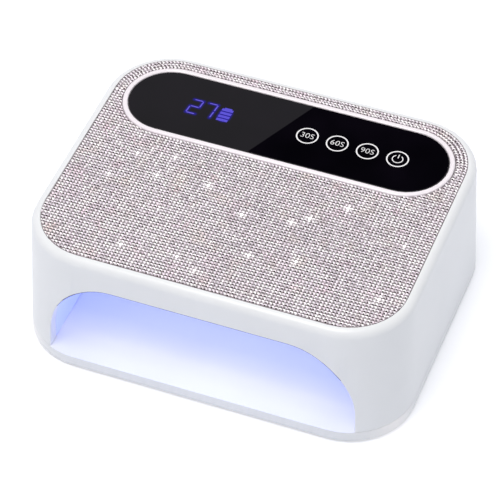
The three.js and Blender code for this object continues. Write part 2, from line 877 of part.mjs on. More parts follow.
function add(parent, name, form, finish) {
  const mesh = form.getMesh();
  const geometry = new THREE.BufferGeometry();
  geometry.setAttribute('position', new THREE.Float32BufferAttribute(mesh.vertProperties, mesh.numProp));
  geometry.setIndex(Array.from(mesh.triVerts));
  geometry.computeVertexNormals();
  const [color, roughness, metalness] = finishes[finish];
  const piece = new THREE.Mesh(geometry, new THREE.MeshStandardMaterial({ color, roughness, metalness }));
  piece.name = name;
  parent.add(piece);
}

add(lamp, 'outer_housing', outerHousing(), 'whitePlastic');
add(lamp, 'crystal_cover', crystalCover(), 'crystals');
add(lamp, 'display_frame', displayFrame(), 'whitePlastic');
add(lamp, 'display_lens', displayLens(), 'blackGloss');
add(lamp, 'display_board', displayBoard(), 'boardGreen');
add(lamp, 'digit_display', digitDisplay(), 'displayFace');
keyNames.forEach((name, i) => {
  add(lamp, `touch_spring_${name}`, touchSpring(keyPlaceShares[i] * lensLength), 'springSteel');
});
add(lamp, 'reflector', reflector(), 'linerWhite');
add(lamp, 'roof_led_board', roofBoard(), 'boardGreen');
add(lamp, 'left_led_board', sideBoard(-1), 'boardGreen');
add(lamp, 'right_led_board', sideBoard(1), 'boardGreen');
beadPlaces().forEach((place, i) => {
  add(lamp, `roof_led_${i + 1}`, roofBead(place, beadRadius), 'clearBead');
});
sideBeadPlaces(-1).forEach((place, i) => {
  add(lamp, `left_led_${i + 1}`, sideBead(place), 'clearBead');
});
sideBeadPlaces(1).forEach((place, i) => {
  add(lamp, `right_led_${i + 1}`, sideBead(place), 'clearBead');
});
add(lamp, 'hand_sensor', roofBead(sensorPlace(), sensorRadius), 'sensorBlack');
add(lamp, 'main_board', mainBoard(), 'boardGreen');
add(lamp, 'charging_inlet', chargingInlet(), 'blackPlastic');
add(lamp, 'battery_cradle', batteryCradle(), 'blackPlastic');
add(lamp, 'battery_cell_left', batteryCell(-1), 'cellWrap');
add(lamp, 'battery_cell_right', batteryCell(1), 'cellWrap');
add(lamp, 'display_ribbon', displayRibbon(), 'cableGrey');
add(lamp, 'battery_lead', batteryLead(), 'leadRed');
add(lamp, 'led_lead', ledLead(), 'cableGrey');
bossPlaces.forEach((place, i) => {
  add(lamp, `reflector_screw_${cornerNames[i]}`, screw(place), 'springSteel');
});
magnetPlaces.forEach(([x, y], i) => {
  const low = housingFoot + fit;
  const magnet = bar(magnetRadius, low, low + magnetHeight, [x, y, 0], roundSides);
  add(lamp, `lamp_magnet_${cornerNames[i]}`, magnet, 'magnetNickel');
});
add(base, 'base_plate', basePlate(), 'whitePlastic');
magnetPlaces.forEach(([x, y], i) => {
  const high = plateTop - fit;
  const magnet = bar(magnetRadius, high - magnetHeight, high, [x, y, 0], roundSides);
  add(base, `plate_magnet_${cornerNames[i]}`, magnet, 'magnetNickel');
});
footPlaces.forEach(([x, y], i) => {
  const foot = bar(footRadius, 0, plateFoot + footPocket - fit, [x, y, 0], roundSides);
  add(base, `foot_${cornerNames[i]}`, foot, 'rubber');
});

export default group;
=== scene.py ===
import math
import random

import bpy
import numpy as np
from mathutils import Matrix, Vector, noise


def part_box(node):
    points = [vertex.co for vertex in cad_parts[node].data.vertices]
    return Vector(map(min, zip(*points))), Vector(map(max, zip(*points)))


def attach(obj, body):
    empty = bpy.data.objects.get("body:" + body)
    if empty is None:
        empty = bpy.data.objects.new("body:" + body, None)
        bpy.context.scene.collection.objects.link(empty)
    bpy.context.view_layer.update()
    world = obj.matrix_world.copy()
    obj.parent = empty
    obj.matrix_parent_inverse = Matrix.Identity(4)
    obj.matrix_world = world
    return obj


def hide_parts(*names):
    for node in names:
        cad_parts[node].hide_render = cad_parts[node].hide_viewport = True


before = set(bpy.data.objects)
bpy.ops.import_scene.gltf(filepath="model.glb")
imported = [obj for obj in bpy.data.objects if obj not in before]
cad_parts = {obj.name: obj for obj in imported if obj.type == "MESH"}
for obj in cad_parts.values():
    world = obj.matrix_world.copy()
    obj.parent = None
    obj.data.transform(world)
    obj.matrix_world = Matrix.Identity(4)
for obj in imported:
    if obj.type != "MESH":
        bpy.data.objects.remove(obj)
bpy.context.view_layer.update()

# A lamp that cures gel nail varnish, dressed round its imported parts. Sizes are in metres.
# The record's frame is used throughout: the hand goes in along +Y, +Z is up, and Z = 0 is the table.

mm = 0.001

# Camera, matched to the photograph's view: angles in degrees, lens and sensor in millimetres
camera_place = (0.39686, -1.04203, 1.17358)
camera_azimuth = 21.045
camera_elevation = 45.581
camera_roll = -0.216
camera_lens = 193.43
camera_sensor = 36

# Studio
floor_size = 12
floor_tone = (0.775, 0.79, 0.84)
floor_lift = 0.36
sky_tone = (0.93, 0.945, 0.97)
sky_levels = (0.70, 0.65)
key_place = (-0.25, -0.6, 2.4)
key_size = 1.1
key_power = 26
key_tone = (1.0, 0.945, 0.90)
rear_place = (0.0, 1.6, 1.7)
rear_size = 1.2
rear_power = 4
rear_tone = (1.0, 0.92, 0.86)

# Panels over the lamp that only its window mirrors, and where their shared edge shows in the window
card_rise = 0.45
card_margin = 0.004
card_tones = (0.34, 0.0)
card_tint = (0.96, 0.93, 1.0)
mirror_edge = ((0.0076, 0.0752), (-0.0145, 0.0277))

# Stones of the crystal cover: their size, how much they lean, and the field's outline
stone_pitch = 2.21 * mm
stone_radius = 1.095 * mm
stone_table = 0.46
stone_sides = 8
stone_foot = 0.88 * mm
stone_top = 0.02 * mm
stone_tilt = 0.08
cover_corner = 34.4 * mm
window_gap = 0.3 * mm

# How far the outer two rows stand from the field's edge, how far the middle of a cut stone may lie
# past the edge, and how far a cut stone stays inside it
edge_inset = 1.25 * mm
strip_inset = 3.6 * mm
cut_reach = 0.35 * mm
cut_margin = 0.08 * mm

# Tints of the stones' facets, with painted light in them: each stone's crown is painted darker towards one
# side as painted shade, and its table and brighter crown facets get a painted gleam
stone_tone = (0.985, 0.90, 0.99)
table_tone = (0.975, 0.94, 0.995)
darkest_tone = (0.02, 0.0, 0.008)
brightest_tone = 0.98
stone_spread = (0.82, 1.22)
table_spread = (0.8, 0.95, 1.0, 1.05)
crown_painted_light_tones = (0.99, -0.55)
crown_spread = (0.8, 0.95, 1.05, 1.1)
crown_painted_shade_side = (math.radians(228), math.radians(278))
crown_painted_shade_share = (0.6, 0.9, 1.0, 1.1)
crown_painted_shade_power = 3
table_painted_gleam = (0.0, 0.40)
crown_painted_gleam = 0.17

# Broad patches and small golden and rosy casts among the stones, each read from its own level of a noise
patch_scale = 26
patch_level = 0.7
patch_strength = 0.07
cast_scale = 105
cast_start = 0.12
gold_cast = (0.03, -0.015, -0.16)
gold_level = 5.3
rose_cast = (0.04, -0.12, -0.07)
rose_level = 15.3

# Painted glints: where stones are painted as catching the light, from the photograph in millimetres, and how
# bright each one is
painted_glints = {
    (55.3, 3.6): 1.3, (36.9, -12.1): 1.1, (29.2, -19.4): 1.1, (-1.0, -23.9): 1.0,
    (-55.9, -70.5): 0.8, (-22.9, -69.0): 0.7, (15.7, -53.1): 0.9, (41.7, -48.3): 0.7,
    (-9.7, -75.3): 0.7, (94.9, -58.4): 0.7, (-74.9, 3.3): 0.7, (-53.3, 6.1): 0.7,
    (-27.0, -8.7): 0.8, (-58.1, -11.5): 0.7, (-83.9, -19.0): 0.6, (94.8, -15.5): 0.6,
}
painted_glint_reach = 3.3 * mm

# The mouth: the liner's painted glow and painted wall colours, deep inside and at the front, and where
# the painted glow fades towards the front and the floor, then the painted pool of light on the plate
# just inside it, and the painted shadow on the underside of its lip
painted_deep_glow = ((0.082, 0.099, 0.27), (0.100, 0.121, 0.30), 18)
painted_deep_wall = ((0.47, 0.55, 0.90), (0.51, 0.59, 0.93), 40)
painted_front_glow = (0.88, 0.88, 0.97)
painted_front_wall = (0.84, 0.87, 0.95)
painted_glow_strength = 1.5
painted_glow_fade = (-68 * mm, -46 * mm)
painted_glow_wall = (62 * mm, 50 * mm)
painted_pool_back = (-56 * mm, -74 * mm)
painted_pool_front = (-93 * mm, -77 * mm)
painted_pool_tone = (0.11, 0.09, 0.08)
lip_depth = 1.3 * mm
lip_foot = 12 * mm
lip_slope = -0.1

# Faces that get a finish of their own: the liner's inner side with its painted glow, the inlet's pin and the
# cells' bare ends
liner_edge = 0.1 * mm
back_wall_slope = -0.9
pin_reach = 1.2 * mm
cell_end = 1.4 * mm

# Prints on the display window
print_height = 0.05 * mm
print_sink = 0.02 * mm
ring_radius = 6.75 * mm
ring_stroke = 0.8 * mm
ring_shift = -0.3 * mm
label_size = 6.0 * mm
label_thinning = 0.09 * mm
power_radius = 3.4 * mm
power_stroke = 0.54 * mm
power_gap_degrees = 32
power_bar_low = 0.7 * mm
power_bar_high = 3.9 * mm
circle_steps = 48

# Lit digits and battery sign, leaning a little to the right, and the painted haze of glow round them
digit_place = (-58.7 * mm, 51.1 * mm)
digit_size = (5.8 * mm, 11.9 * mm)
digit_pitch = 9.35 * mm
digit_lean = 0.10
digit_light = ((0.09, 0.065, 0.52), (0.16, 0.13, 0.74), 900)
segment_width = 0.72 * mm
segment_gap = 0.3 * mm
digit_segments = {"2": "abged", "7": "abc"}
battery_place = (-39.2 * mm, 50.3 * mm)
battery_size = (7.0 * mm, 10.8 * mm)
battery_lean = 0.04
battery_light = ((0.065, 0.047, 0.50), (0.11, 0.09, 0.70), 900)
battery_bars = 4
battery_gap = 1.0 * mm
battery_knob = (4.6 * mm, 0.9 * mm)
painted_haze_reach = 1.7 * mm
painted_haze_power = 2
painted_haze_tone = (0.006, 0.0, 0.27)

# Looks of the finishes. Clouds are two colours that drift into each other, and the scale of the drift.
# Roughness is one value, or a range and the scale at which it varies. Grain is the scale and the strength of
# fine bumps. Values are set on the shader's own sockets
looks = {
    "white_plastic": {
        "clouds": ((0.808, 0.828, 0.852), (0.828, 0.848, 0.872), 22), "roughness": 0.3, "grain": (110, 0.12),
    },
    "lip_shadow": {"clouds": ((0.18, 0.21, 0.34), (0.22, 0.25, 0.38), 60), "roughness": 0.5},
    "frame_white": {
        "clouds": ((0.88, 0.83, 0.88), (0.90, 0.85, 0.90), 40), "roughness": 0.22, "grain": (140, 0.1),
    },
    "liner_white": {
        "clouds": ((0.82, 0.84, 0.92), (0.85, 0.87, 0.95), 40), "roughness": 0.25, "grain": (1500, 0.08),
    },
    "liner_painted_glow": {"roughness": 0.3},
    "crystals": {"roughness": (0.06, 0.2, 900), "values": {"Coat Weight": 0.35, "Coat Roughness": 0.03}},
    # Foil between the stones: its dark colour is partly its own and partly painted shade between the stones
    "crystal_backing_and_painted_shade": {
        "clouds": ((0.17, 0.14, 0.155), (0.27, 0.225, 0.245), 420), "roughness": 0.5, "grain": (1200, 0.3),
    },
    "window_gloss_and_painted_haze": {
        "clouds": ((0.0015, 0.0012, 0.0025), (0.003, 0.0022, 0.0045), 30), "roughness": (0.003, 0.007, 260),
    },
    "label_ink": {
        "clouds": ((0.86, 0.86, 0.88), (0.93, 0.93, 0.95), 900), "roughness": 0.4, "grain": (4000, 0.1),
    },
    "lit_segment": {"roughness": 0.02, "values": {"Base Color": (0.01, 0.008, 0.06, 1)}},
    "display_face": {
        "clouds": ((0.014, 0.011, 0.024), (0.026, 0.02, 0.04), 240), "roughness": 0.25, "grain": (2600, 0.15),
    },
    "circuit_board": {"roughness": (0.3, 0.5, 200), "grain": (1500, 0.1)},
    "spring_steel": {
        "clouds": ((0.44, 0.45, 0.47), (0.55, 0.56, 0.58), 300), "roughness": (0.18, 0.38, 1600),
        "grain": (1600, 0.1), "values": {"Metallic": 1.0},
    },
    "magnet_nickel": {
        "clouds": ((0.58, 0.58, 0.57), (0.68, 0.68, 0.67), 300), "roughness": (0.18, 0.38, 900),
        "grain": (900, 0.1), "values": {"Metallic": 1.0},
    },
    "clear_bead": {"roughness": 0.08, "values": {"Base Color": (0.8, 0.8, 1.0, 1)}},
    "sensor_black": {
        "clouds": ((0.004, 0.003, 0.006), (0.010, 0.006, 0.013), 600), "roughness": (0.08, 0.2, 500),
    },
    "cell_wrap": {"roughness": (0.28, 0.42, 120), "grain": (500, 0.15)},
    "black_plastic": {
        "clouds": ((0.009, 0.009, 0.010), (0.017, 0.017, 0.018), 120), "roughness": (0.42, 0.6, 200),
        "grain": (1600, 0.3),
    },
    "cable_grey": {"roughness": (0.42, 0.6, 300)},
    "lead_red": {
        "clouds": ((0.38, 0.016, 0.014), (0.47, 0.028, 0.024), 200), "roughness": 0.4, "grain": (900, 0.15),
    },
    "rubber": {
        "clouds": ((0.016, 0.016, 0.017), (0.028, 0.028, 0.029), 300), "roughness": (0.78, 0.92, 400),
        "grain": (1400, 0.5),
    },
}
cloud_range = (0.35, 0.65)
rough_range = (0.25, 0.75)
rough_detail = 1.0
grain_depth = 0.03 * mm

# Colours and scales of the finishes that have more than a look: boards, beads, cells and cables
mask_clouds = ((0.012, 0.085, 0.04), (0.02, 0.12, 0.055), 60)
trace_tone = (0.06, 0.22, 0.09)
trace_scale = 190
trace_edge = (0.07, 0.04)
bead_light = ((0.30, 0.34, 1.0), (0.5, 0.52, 1.0), 500)
bead_strength = 3
wrap_clouds = ((0.022, 0.12, 0.36), (0.04, 0.18, 0.48), 45)
bare_metal = (0.6, 0.6, 0.6)
strand_tones = ((0.25, 0.255, 0.27), (0.47, 0.48, 0.50))
strand_scale = 224
strand_edge = (0.0, 0.25)

no_light = (0.0, 0.0, 0.0)

# Shading of round and crisp edges
smooth_angle = math.radians(32)
weld_distance = 0.001 * mm


def link(thing):
    """An object is put into the scene."""
    bpy.context.scene.collection.objects.link(thing)
    return thing


def make_camera():
    """The photograph's view, with no shift and no depth of field."""
    data = bpy.data.cameras.new("camera")
    data.lens = camera_lens
    data.sensor_width = camera_sensor
    camera = link(bpy.data.objects.new("camera", data))
    turn = Matrix.Rotation(math.radians(camera_azimuth), 4, "Z")
    tip = Matrix.Rotation(math.radians(90 - camera_elevation), 4, "X")
    roll = Matrix.Rotation(math.radians(camera_roll), 4, "Z")
    camera.matrix_world = Matrix.Translation(camera_place) @ turn @ tip @ roll
    bpy.context.scene.camera = camera


# Node helpers
def add_node(tree, kind, values=None, **settings):
    """A new node, with values for its sockets and its other settings."""
    made = tree.nodes.new(kind)
    for name, value in settings.items():
        setattr(made, name, value)
    for name, value in (values or {}).items():
        made.inputs[name].default_value = value
    return made


def object_space(tree):
    """The surface's place in the frame, since every node's object sits at the origin."""
    return add_node(tree, "ShaderNodeTexCoord").outputs["Object"]


def noise_of(tree, scale, detail=2.0):
    """A smooth random value over the surface, about 0.5 on average."""
    texture = add_node(tree, "ShaderNodeTexNoise", {"Scale": scale, "Detail": detail})
    tree.links.new(object_space(tree), texture.inputs["Vector"])
    return texture.outputs["Fac"]


def connect(tree, value, socket):
    """Another node's output, or a plain number or colour, goes into a socket."""
    if isinstance(value, bpy.types.NodeSocket):
        tree.links.new(value, socket)
    else:
        socket.default_value = value


def blended(tree, factor, low, high):
    """A colour that runs from low to high with a factor."""
    mix = add_node(tree, "ShaderNodeMix", data_type="RGBA")
    sockets = {socket.identifier: socket for socket in (*mix.inputs, *mix.outputs)}
    for name, color in (("A_Color", low), ("B_Color", high)):
        connect(tree, (*color, 1) if isinstance(color, tuple) else color, sockets[name])
    connect(tree, factor, sockets["Factor_Float"])
    return sockets["Result_Color"]


def clouded(tree, low, high, scale):
    """A colour that drifts between two others."""
    return blended(tree, noise_of(tree, scale), low, high)


def ranged(tree, value, low, high, to_low=0.0, to_high=1.0):
    """A value mapped from one range to another, and held inside it."""
    remap = add_node(tree, "ShaderNodeMapRange", {
        "From Min": low, "From Max": high, "To Min": to_low, "To Max": to_high,
    })
    tree.links.new(value, remap.inputs["Value"])
    return remap.outputs["Result"]


def arithmetic(tree, operation, first, second=0.0):
    """One step of arithmetic on two values."""
    step = add_node(tree, "ShaderNodeMath", operation=operation)
    for socket, value in zip(step.inputs, (first, second)):
        connect(tree, value, socket)
    return step.outputs[0]


def vector_step(tree, operation, first, second, output="Vector"):
    """One step of arithmetic on two vectors."""
    step = add_node(tree, "ShaderNodeVectorMath", operation=operation)
    for socket, value in zip(step.inputs, (first, second)):
        connect(tree, value, socket)
    return step.outputs[output]


def distance_to_line(tree, start, end):
    """How far a point of the surface is from the line between two places."""
    along = end - start
    offset = vector_step(tree, "SUBTRACT", object_space(tree), start)
    dot = vector_step(tree, "DOT_PRODUCT", offset, along, "Value")
    share = ranged(tree, dot, 0, along.length_squared)
    nearest = add_node(tree, "ShaderNodeVectorMath", operation="SCALE")
    nearest.inputs[0].default_value = along
    tree.links.new(share, nearest.inputs["Scale"])
    return vector_step(tree, "DISTANCE", offset, nearest.outputs[0], "Value")


def axis_of(tree, axis):
    """The surface's place along one axis of the frame."""
    split = add_node(tree, "ShaderNodeSeparateXYZ")
    tree.links.new(object_space(tree), split.inputs[0])
    return split.outputs[axis]


# Finishes
def finish(name, look=None):
    """A Principled material with a look from the table, its tree and its shader."""
    look = looks[look or name]
    material = bpy.data.materials.new(name)
    material.use_nodes = True
    tree = material.node_tree
    shader = tree.nodes["Principled BSDF"]
    for socket, value in look.get("values", {}).items():
        shader.inputs[socket].default_value = value
    if "clouds" in look:
        low, high, scale = look["clouds"]
        factor = ranged(tree, noise_of(tree, scale), *cloud_range)
        tree.links.new(blended(tree, factor, low, high), shader.inputs["Base Color"])
    roughness = look["roughness"]
    if isinstance(roughness, tuple):
        low, high, scale = roughness
        roughness = ranged(tree, noise_of(tree, scale, rough_detail), *rough_range, low, high)
    connect(tree, roughness, shader.inputs["Roughness"])
    if "grain" in look:
        scale, strength = look["grain"]
        bump = add_node(tree, "ShaderNodeBump", {"Strength": strength, "Distance": grain_depth})
        tree.links.new(noise_of(tree, scale), bump.inputs["Height"])
        tree.links.new(bump.outputs["Normal"], shader.inputs["Normal"])
    return material, tree, shader


def plain(name):
    """A finish that needs nothing but its look."""
    return finish(name)[0]


def colored(tree, shader, color):
    """A finish takes its colour from a node."""
    tree.links.new(color, shader.inputs["Base Color"])


def shine(tree, shader, color, strength=1.0):
    """A finish gives off light of a colour from a node."""
    tree.links.new(color, shader.inputs["Emission Color"])
    shader.inputs["Emission Strength"].default_value = strength


def plate_white_and_painted_pool():
    """The shell's plastic, with a painted pool of the beads' light on the floor just inside the mouth."""
    material, tree, shader = finish("plate_white_and_painted_pool", "white_plastic")
    depth = axis_of(tree, "Y")
    # Painted pool of light: the plate glows between these depths
    lit = arithmetic(tree, "MULTIPLY", ranged(tree, depth, *painted_pool_back), ranged(tree, depth, *painted_pool_front))
    shine(tree, shader, blended(tree, lit, no_light, painted_pool_tone))
    return material


def liner_painted_glow():
    """The liner's inner face, with painted glow and painted blue-violet colour for the beads' light:
    blue-violet inside, paler towards the mouth.
    """
    material, tree, shader = finish("liner_painted_glow")
    inward = ranged(tree, axis_of(tree, "Y"), *painted_glow_fade)
    low_wall = ranged(tree, axis_of(tree, "Z"), *painted_glow_wall)
    inside = arithmetic(tree, "MAXIMUM", inward, low_wall)
    # Painted glow and painted blue-violet wall colour stand for the beads' light on the liner
    shine(tree, shader, blended(tree, inside, painted_front_glow, clouded(tree, *painted_deep_glow)), painted_glow_strength)
    colored(tree, shader, blended(tree, inside, painted_front_wall, clouded(tree, *painted_deep_wall)))
    return material


def crystals():
    """Faceted glass stones. Each facet's tint is stored on the mesh, with painted light in it, and its
    painted gleam as alpha makes it glow.
    """
    material, tree, shader = finish("crystals")
    tint = add_node(tree, "ShaderNodeAttribute", attribute_name="facet")
    colored(tree, shader, tint.outputs["Color"])
    shine(tree, shader, tint.outputs["Color"])
    tree.links.new(tint.outputs["Alpha"], shader.inputs["Emission Strength"])
    return material


def window_gloss_and_painted_haze():
    """Polished black window, with a painted haze of glow round its lit signs."""
    material, tree, shader = finish("window_gloss_and_painted_haze")
    nearest = painted_haze_reach
    for start, end, half_width in lit_lines():
        outside = arithmetic(tree, "SUBTRACT", distance_to_line(tree, start, end), half_width)
        nearest = arithmetic(tree, "MINIMUM", nearest, outside)
    # Painted haze: the window glows near its lit signs
    haze = arithmetic(tree, "POWER", ranged(tree, nearest, painted_haze_reach, 0), painted_haze_power)
    shine(tree, shader, blended(tree, haze, no_light, painted_haze_tone))
    return material


def lit_segment(name, light):
    """A lit part of the display, a little uneven between two colours of light."""
    material, tree, shader = finish(name, "lit_segment")
    shine(tree, shader, clouded(tree, *light))
    return material


def circuit_board():
    """Green solder mask with copper traces under it."""
    material, tree, shader = finish("circuit_board")
    traces = add_node(tree, "ShaderNodeTexVoronoi", {"Scale": trace_scale}, feature="DISTANCE_TO_EDGE")
    tree.links.new(object_space(tree), traces.inputs["Vector"])
    trace = ranged(tree, traces.outputs["Distance"], *trace_edge)
    colored(tree, shader, blended(tree, trace, clouded(tree, *mask_clouds), trace_tone))
    return material


def clear_bead():
    """A lit LED: a clear dome over a bright violet-blue chip."""
    material, tree, shader = finish("clear_bead")
    shine(tree, shader, clouded(tree, *bead_light), bead_strength)
    return material


def cell_wrap():
    """Shrink-wrapped battery cell with bare metal ends."""
    material, tree, shader = finish("cell_wrap")
    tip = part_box("battery_cell_right")[1].x
    end = arithmetic(tree, "GREATER_THAN", arithmetic(tree, "ABSOLUTE", axis_of(tree, "X")), tip - cell_end)
    colored(tree, shader, blended(tree, end, clouded(tree, *wrap_clouds), bare_metal))
    tree.links.new(end, shader.inputs["Metallic"])
    return material


def cable_grey():
    """Flat cable: grey strands side by side."""
    material, tree, shader = finish("cable_grey")
    strands = add_node(
        tree, "ShaderNodeTexWave", {"Scale": strand_scale}, wave_type="BANDS", bands_direction="X",
    )
    tree.links.new(object_space(tree), strands.inputs["Vector"])
    colored(tree, shader, blended(tree, ranged(tree, strands.outputs["Fac"], *strand_edge), *strand_tones))
    return material


# The stage
def white_to_camera(tree):
    """1 for the rays that look at or are mirrored to the background, 0 for the rays that light things."""
    path = add_node(tree, "ShaderNodeLightPath")
    seen = arithmetic(tree, "MAXIMUM", path.outputs["Is Camera Ray"], path.outputs["Is Glossy Ray"])
    return arithmetic(tree, "MAXIMUM", seen, path.outputs["Is Transmission Ray"])


def make_world():
    """An even pale sky, a little dimmer on the right, and white to the camera."""
    world = bpy.data.worlds.new("studio")
    world.use_nodes = True
    bpy.context.scene.world = world
    tree = world.node_tree
    ambient = tree.nodes["Background"]
    ambient.inputs["Color"].default_value = (*sky_tone, 1)
    direction = add_node(tree, "ShaderNodeSeparateXYZ")
    tree.links.new(add_node(tree, "ShaderNodeTexCoord").outputs["Generated"], direction.inputs[0])
    level = ranged(tree, direction.outputs["X"], -1, 1, *sky_levels)
    tree.links.new(level, ambient.inputs["Strength"])
    white = add_node(tree, "ShaderNodeBackground", {"Color": (1, 1, 1, 1), "Strength": 1.0})
    mix = add_node(tree, "ShaderNodeMixShader")
    tree.links.new(white_to_camera(tree), mix.inputs["Fac"])
    tree.links.new(ambient.outputs[0], mix.inputs[1])
    tree.links.new(white.outputs[0], mix.inputs[2])
    tree.links.new(mix.outputs[0], tree.nodes["World Output"].inputs["Surface"])


def floor_paper():
    """Pale paper that takes shadows, lifted to white for the camera."""
    material = bpy.data.materials.new("floor_paper")
    material.use_nodes = True
    tree = material.node_tree
    tree.nodes.clear()
    paper = add_node(tree, "ShaderNodeBsdfDiffuse", {"Color": (*floor_tone, 1)})
    lift = add_node(tree, "ShaderNodeEmission", {"Color": (1, 1, 1, 1)})
    tree.links.new(arithmetic(tree, "MULTIPLY", white_to_camera(tree), floor_lift), lift.inputs["Strength"])
    both = add_node(tree, "ShaderNodeAddShader")
    tree.links.new(paper.outputs[0], both.inputs[0])
    tree.links.new(lift.outputs[0], both.inputs[1])
    tree.links.new(both.outputs[0], add_node(tree, "ShaderNodeOutputMaterial").inputs["Surface"])
    return material


def flat_sheet(name, corners, material):
    """A flat piece of the stage, with one face."""
    mesh = bpy.data.meshes.new(name)
    mesh.from_pydata(corners, [], [tuple(range(len(corners)))])
    mesh.materials.append(material)
    sheet = link(bpy.data.objects.new(name, mesh))
    return sheet


def make_floor():
    """The table that the lamp stands on, far wider than the view."""
    half = floor_size / 2
    corners = [(-half, -half, 0), (half, -half, 0), (half, half, 0), (-half, half, 0)]
    flat_sheet("floor", corners, floor_paper())


def softbox(name, place, size, power, tone):
    """A round soft light, aimed at the origin."""
    data = bpy.data.lights.new(name, "AREA")
    data.shape = "DISK"
    data.size = size
    data.energy = power
    data.color = tone
    light = link(bpy.data.objects.new(name, data))
    light.location = place
    light.rotation_euler = (-Vector(place)).to_track_quat("-Z", "Y").to_euler()


def mirrored(x, y):
    """Where the camera's ray, mirrored at a point of the window, meets the panels' level."""
    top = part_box("display_lens")[1].z
    under = Vector((camera_place[0], camera_place[1], 2 * top - camera_place[2]))
    point = Vector((x, y, top))
    ray = point - under
    return tuple(point + ray * (card_rise / ray.z))


def make_cards():
    """Two panels, a grey and a black one, that only mirrored rays see."""
    low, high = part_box("display_lens")
    left, right = low.x - card_margin, high.x + card_margin
    front, back = low.y - card_margin, high.y + card_margin
    # The shared edge, drawn out to the front and the back of both panels
    (far_x, far_y), (near_x, near_y) = mirror_edge
    slope = (far_x - near_x) / (far_y - near_y)
    edge_front = (near_x + slope * (front - near_y), front)
    edge_back = (near_x + slope * (back - near_y), back)
    outlines = {
        "card_grey": [(left, front), edge_front, edge_back, (left, back)],
        "card_black": [edge_front, (right, front), (right, back), edge_back],
    }
    for (name, outline), tone in zip(outlines.items(), card_tones):
        material = bpy.data.materials.new(name)
        material.use_nodes = True
        tree = material.node_tree
        tree.nodes.clear()
        light = add_node(tree, "ShaderNodeEmission", {"Color": (*card_tint, 1), "Strength": tone})
        tree.links.new(light.outputs[0], add_node(tree, "ShaderNodeOutputMaterial").inputs["Surface"])
        card = flat_sheet(name, [mirrored(x, y) for x, y in outline], material)
        card.visible_camera = False
        card.visible_diffuse = False
        card.visible_shadow = False
        card.visible_transmission = False


# CAD nodes: their own shapes, with a finish and soft shading
def weld_corners(piece):
    """The mesh is joined where its faces meet."""
    weld = piece.modifiers.new("weld", "WELD")
    weld.merge_threshold = weld_distance


def smooth(cad):
    """Round stretches shade smooth, and edges stay crisp."""
    mesh = cad.data
    if "custom_normal" in mesh.attributes:
        mesh.attributes.remove(mesh.attributes["custom_normal"])
    mesh.shade_smooth()
    weld_corners(cad)
    split = cad.modifiers.new("crisp_edges", "EDGE_SPLIT")
    split.split_angle = smooth_angle


def dress_nodes():
    """Each node gets the finish of its material slot, and two get one of their own."""
    alike = (
        "white_plastic", "display_face", "spring_steel", "liner_white", "sensor_black", "black_plastic",
        "lead_red", "magnet_nickel", "rubber",
    )
    finishes = {slot: plain(slot) for slot in alike}
    finishes.update({
        "crystals": plain("crystal_backing_and_painted_shade"), "black_gloss": window_gloss_and_painted_haze(), "circuit_board": circuit_board(),
        "clear_bead": clear_bead(), "cell_wrap": cell_wrap(), "cable_grey": cable_grey(),
    })
    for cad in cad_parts.values():
        cad.data.materials[0] = finishes[cad.data.materials[0].name]
        smooth(cad)
    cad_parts["display_frame"].data.materials[0] = plain("frame_white")
    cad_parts["base_plate"].data.materials[0] = plate_white_and_painted_pool()
    brighten_pin(finishes["magnet_nickel"])


def brighten_pin(nickel):
    """The charging inlet's pin is bright metal in a black socket."""
    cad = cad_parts["charging_inlet"]
    low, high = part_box("charging_inlet")
    middle_x, middle_z = (low.x + high.x) / 2, (low.z + high.z) / 2
    cad.data.materials.append(nickel)
    for face in cad.data.polygons:
        corners = [cad.data.vertices[i].co for i in face.vertices]
        if all(math.hypot(point.x - middle_x, point.z - middle_z) < pin_reach for point in corners):
            face.material_index = 1


def shade_lip():
    """The down-facing stretch of the lip round the mouth is painted dark as shadow."""
    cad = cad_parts["outer_housing"]
    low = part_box("outer_housing")[0]
    cad.data.materials.append(plain("lip_shadow"))
    for face in cad.data.polygons:
        at_front = face.center.y < low.y + lip_depth and face.center.z > low.z + lip_foot
        # Painted shadow on the lip's down-facing faces
        if at_front and face.normal.z < lip_slope:
            face.material_index = 1


def paint_liner_glow():
    """The liner's inner faces get the painted glow; its outer faces and flange don't."""
    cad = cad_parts["reflector"]
    low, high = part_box("reflector")
    axis_z = low.z + (high.z - low.z) / 3
    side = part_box("right_led_board")[0].x
    cad.data.materials.append(liner_painted_glow())
    for face in cad.data.polygons:
        x, y, z = face.center
        inward = Vector((-x, 0, axis_z - z))
        back_wall = face.normal.y < back_wall_slope and y > (low.y + high.y) / 2
        inner = inward.dot(face.normal) > 0 and z > low.z + liner_edge
        if abs(x) < side and z < high.z - liner_edge and (back_wall or inner):
            face.material_index = 1


# Flat shapes on the window: prints and lit segments
def inlay(name, splines, foot, top, material):
    """Closed outlines, with inner ones as holes, as a thin plate between two levels."""
    curve = bpy.data.curves.new(name, "CURVE")
    curve.dimensions = "2D"
    curve.fill_mode = "BOTH"
    curve.extrude = (top - foot) / 2
    for points in splines:
        spline = curve.splines.new("POLY")
        spline.points.add(len(points) - 1)
        for target, (x, y) in zip(spline.points, points):
            target.co = (x, y, 0, 1)
        spline.use_cyclic_u = True
    return solid_of(name, curve, (0, 0, (foot + top) / 2), material)


def solid_of(name, curve, place, material):
    """A filled curve or text as a welded mesh piece at a place."""
    source = link(bpy.data.objects.new(name, curve))
    bpy.context.view_layer.update()
    evaluated = source.evaluated_get(bpy.context.evaluated_depsgraph_get())
    mesh = bpy.data.meshes.new_from_object(evaluated)
    bpy.data.objects.remove(source)
    mesh.name = name
    mesh.transform(Matrix.Translation(place))
    mesh.materials.clear()
    mesh.materials.append(material)
    piece = link(bpy.data.objects.new(name, mesh))
    weld_corners(piece)
    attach(piece, "lamp")
    return piece


